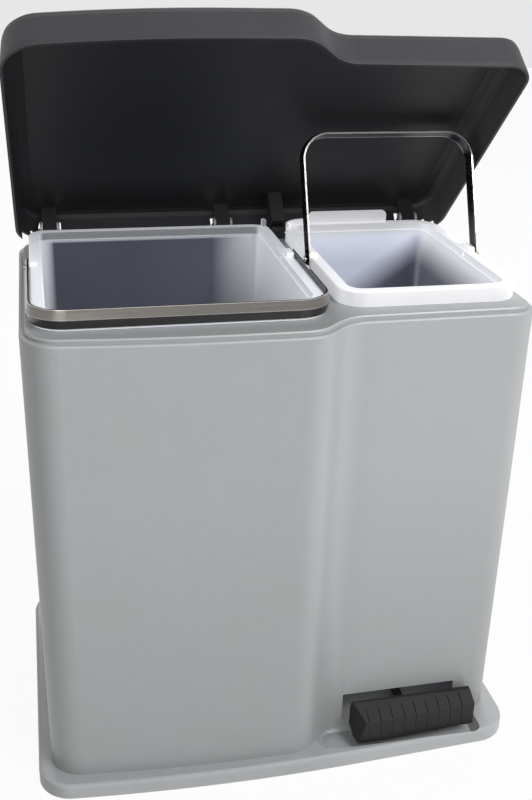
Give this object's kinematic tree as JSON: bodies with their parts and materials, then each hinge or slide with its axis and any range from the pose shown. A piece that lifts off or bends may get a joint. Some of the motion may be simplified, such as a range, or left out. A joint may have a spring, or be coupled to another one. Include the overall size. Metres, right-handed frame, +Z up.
{
  "type": "double pedal recycling bin",
  "caption": "Free-standing pedal bin with a large and a small lift-out bucket side by side in one stepped housing, under one hinged lid that a pedal and push rod raise.",
  "frame": {"origin": "on the floor, below the middle of the bin", "axes": "+X to the right as seen from the front, +Y to the rear where the lid is hinged, +Z up"},
  "size_m": [0.512, 0.3734, 0.7535],
  "materials": {
    "silver_plastic": "satin silver with a fine pearly grain",
    "charcoal_plastic": "satin charcoal, nearly black inside",
    "frosted_plastic": "translucent frosted plastic",
    "white_plastic": "white satin gloss",
    "black_plastic": "matt black",
    "black_steel": "black paint",
    "bright_steel": "bright rolled stainless",
    "zinc_steel": "zinc plated",
    "foot_rubber": "matt black"
  },
  "bodies": {
    "housing": {"base_plinth": "silver_plastic", "rubber_feet": "foot_rubber", "body_shell": "silver_plastic", "base_screws": "zinc_steel", "top_frame": "silver_plastic", "hinge_pins": "bright_steel", "rod_guide": "black_plastic", "shaft_brackets": "zinc_steel", "bracket_screws": "zinc_steel"},
    "lid": {"lid": "charcoal_plastic"},
    "pedal": {"pedal_shaft": "zinc_steel", "rear_arm": "black_steel", "front_arm": "black_steel", "pedal_tread": "black_plastic", "tread_screws": "zinc_steel", "shaft_clips": "zinc_steel"},
    "push_rod": {"push_rod": "black_plastic"},
    "large_bucket": {"large_bucket": "frosted_plastic", "large_bail_rivets": "bright_steel"},
    "large_bail": {"large_bail": "bright_steel"},
    "small_bucket": {"small_bucket": "white_plastic", "small_bail_rivets": "bright_steel"},
    "small_bail": {"small_bail": "bright_steel"}
  },
  "joints": [
    {"name": "lid_hinge", "type": "hinge", "parent": "housing", "child": "lid", "pos_m": [0, 0.166, 0.501], "axis": [-1, 0, 0], "range_deg": [-44.4, 0]},
    {"name": "pedal_hinge", "type": "hinge", "parent": "housing", "child": "pedal", "pos_m": [0.095, 0.056, 0.035], "axis": [1, 0, 0], "range_deg": [-9.13, 0]},
    {"name": "rod_slide", "type": "slide", "parent": "housing", "child": "push_rod", "axis": [0, 0, 1], "range_m": [-0.0143, 0]},
    {"name": "large_bucket_lift", "type": "slide", "parent": "housing", "child": "large_bucket", "axis": [0, 0, 1], "range_m": [0, 0.003]},
    {"name": "large_bail_hinge", "type": "hinge", "parent": "large_bucket", "child": "large_bail", "pos_m": [-0.0995, 0.024, 0.503], "axis": [-1, 0, 0], "range_deg": [0, 4]},
    {"name": "small_bucket_lift", "type": "slide", "parent": "housing", "child": "small_bucket", "axis": [0, 0, 1], "range_m": [0, 0.003]},
    {"name": "small_bail_hinge", "type": "hinge", "parent": "small_bucket", "child": "small_bail", "pos_m": [0.14425, 0.015, 0.503], "axis": [-1, 0, 0], "range_deg": [-113, 0]}
  ],
  "couplings": [
    {"joint": "pedal_hinge", "follows": "lid_hinge", "ratio": 0.20541},
    {"joint": "rod_slide", "follows": "lid_hinge", "m_per_rad": 0.018415},
    {"joint": "small_bail_hinge", "follows": "lid_hinge", "ratio": 2.545}
  ]
}
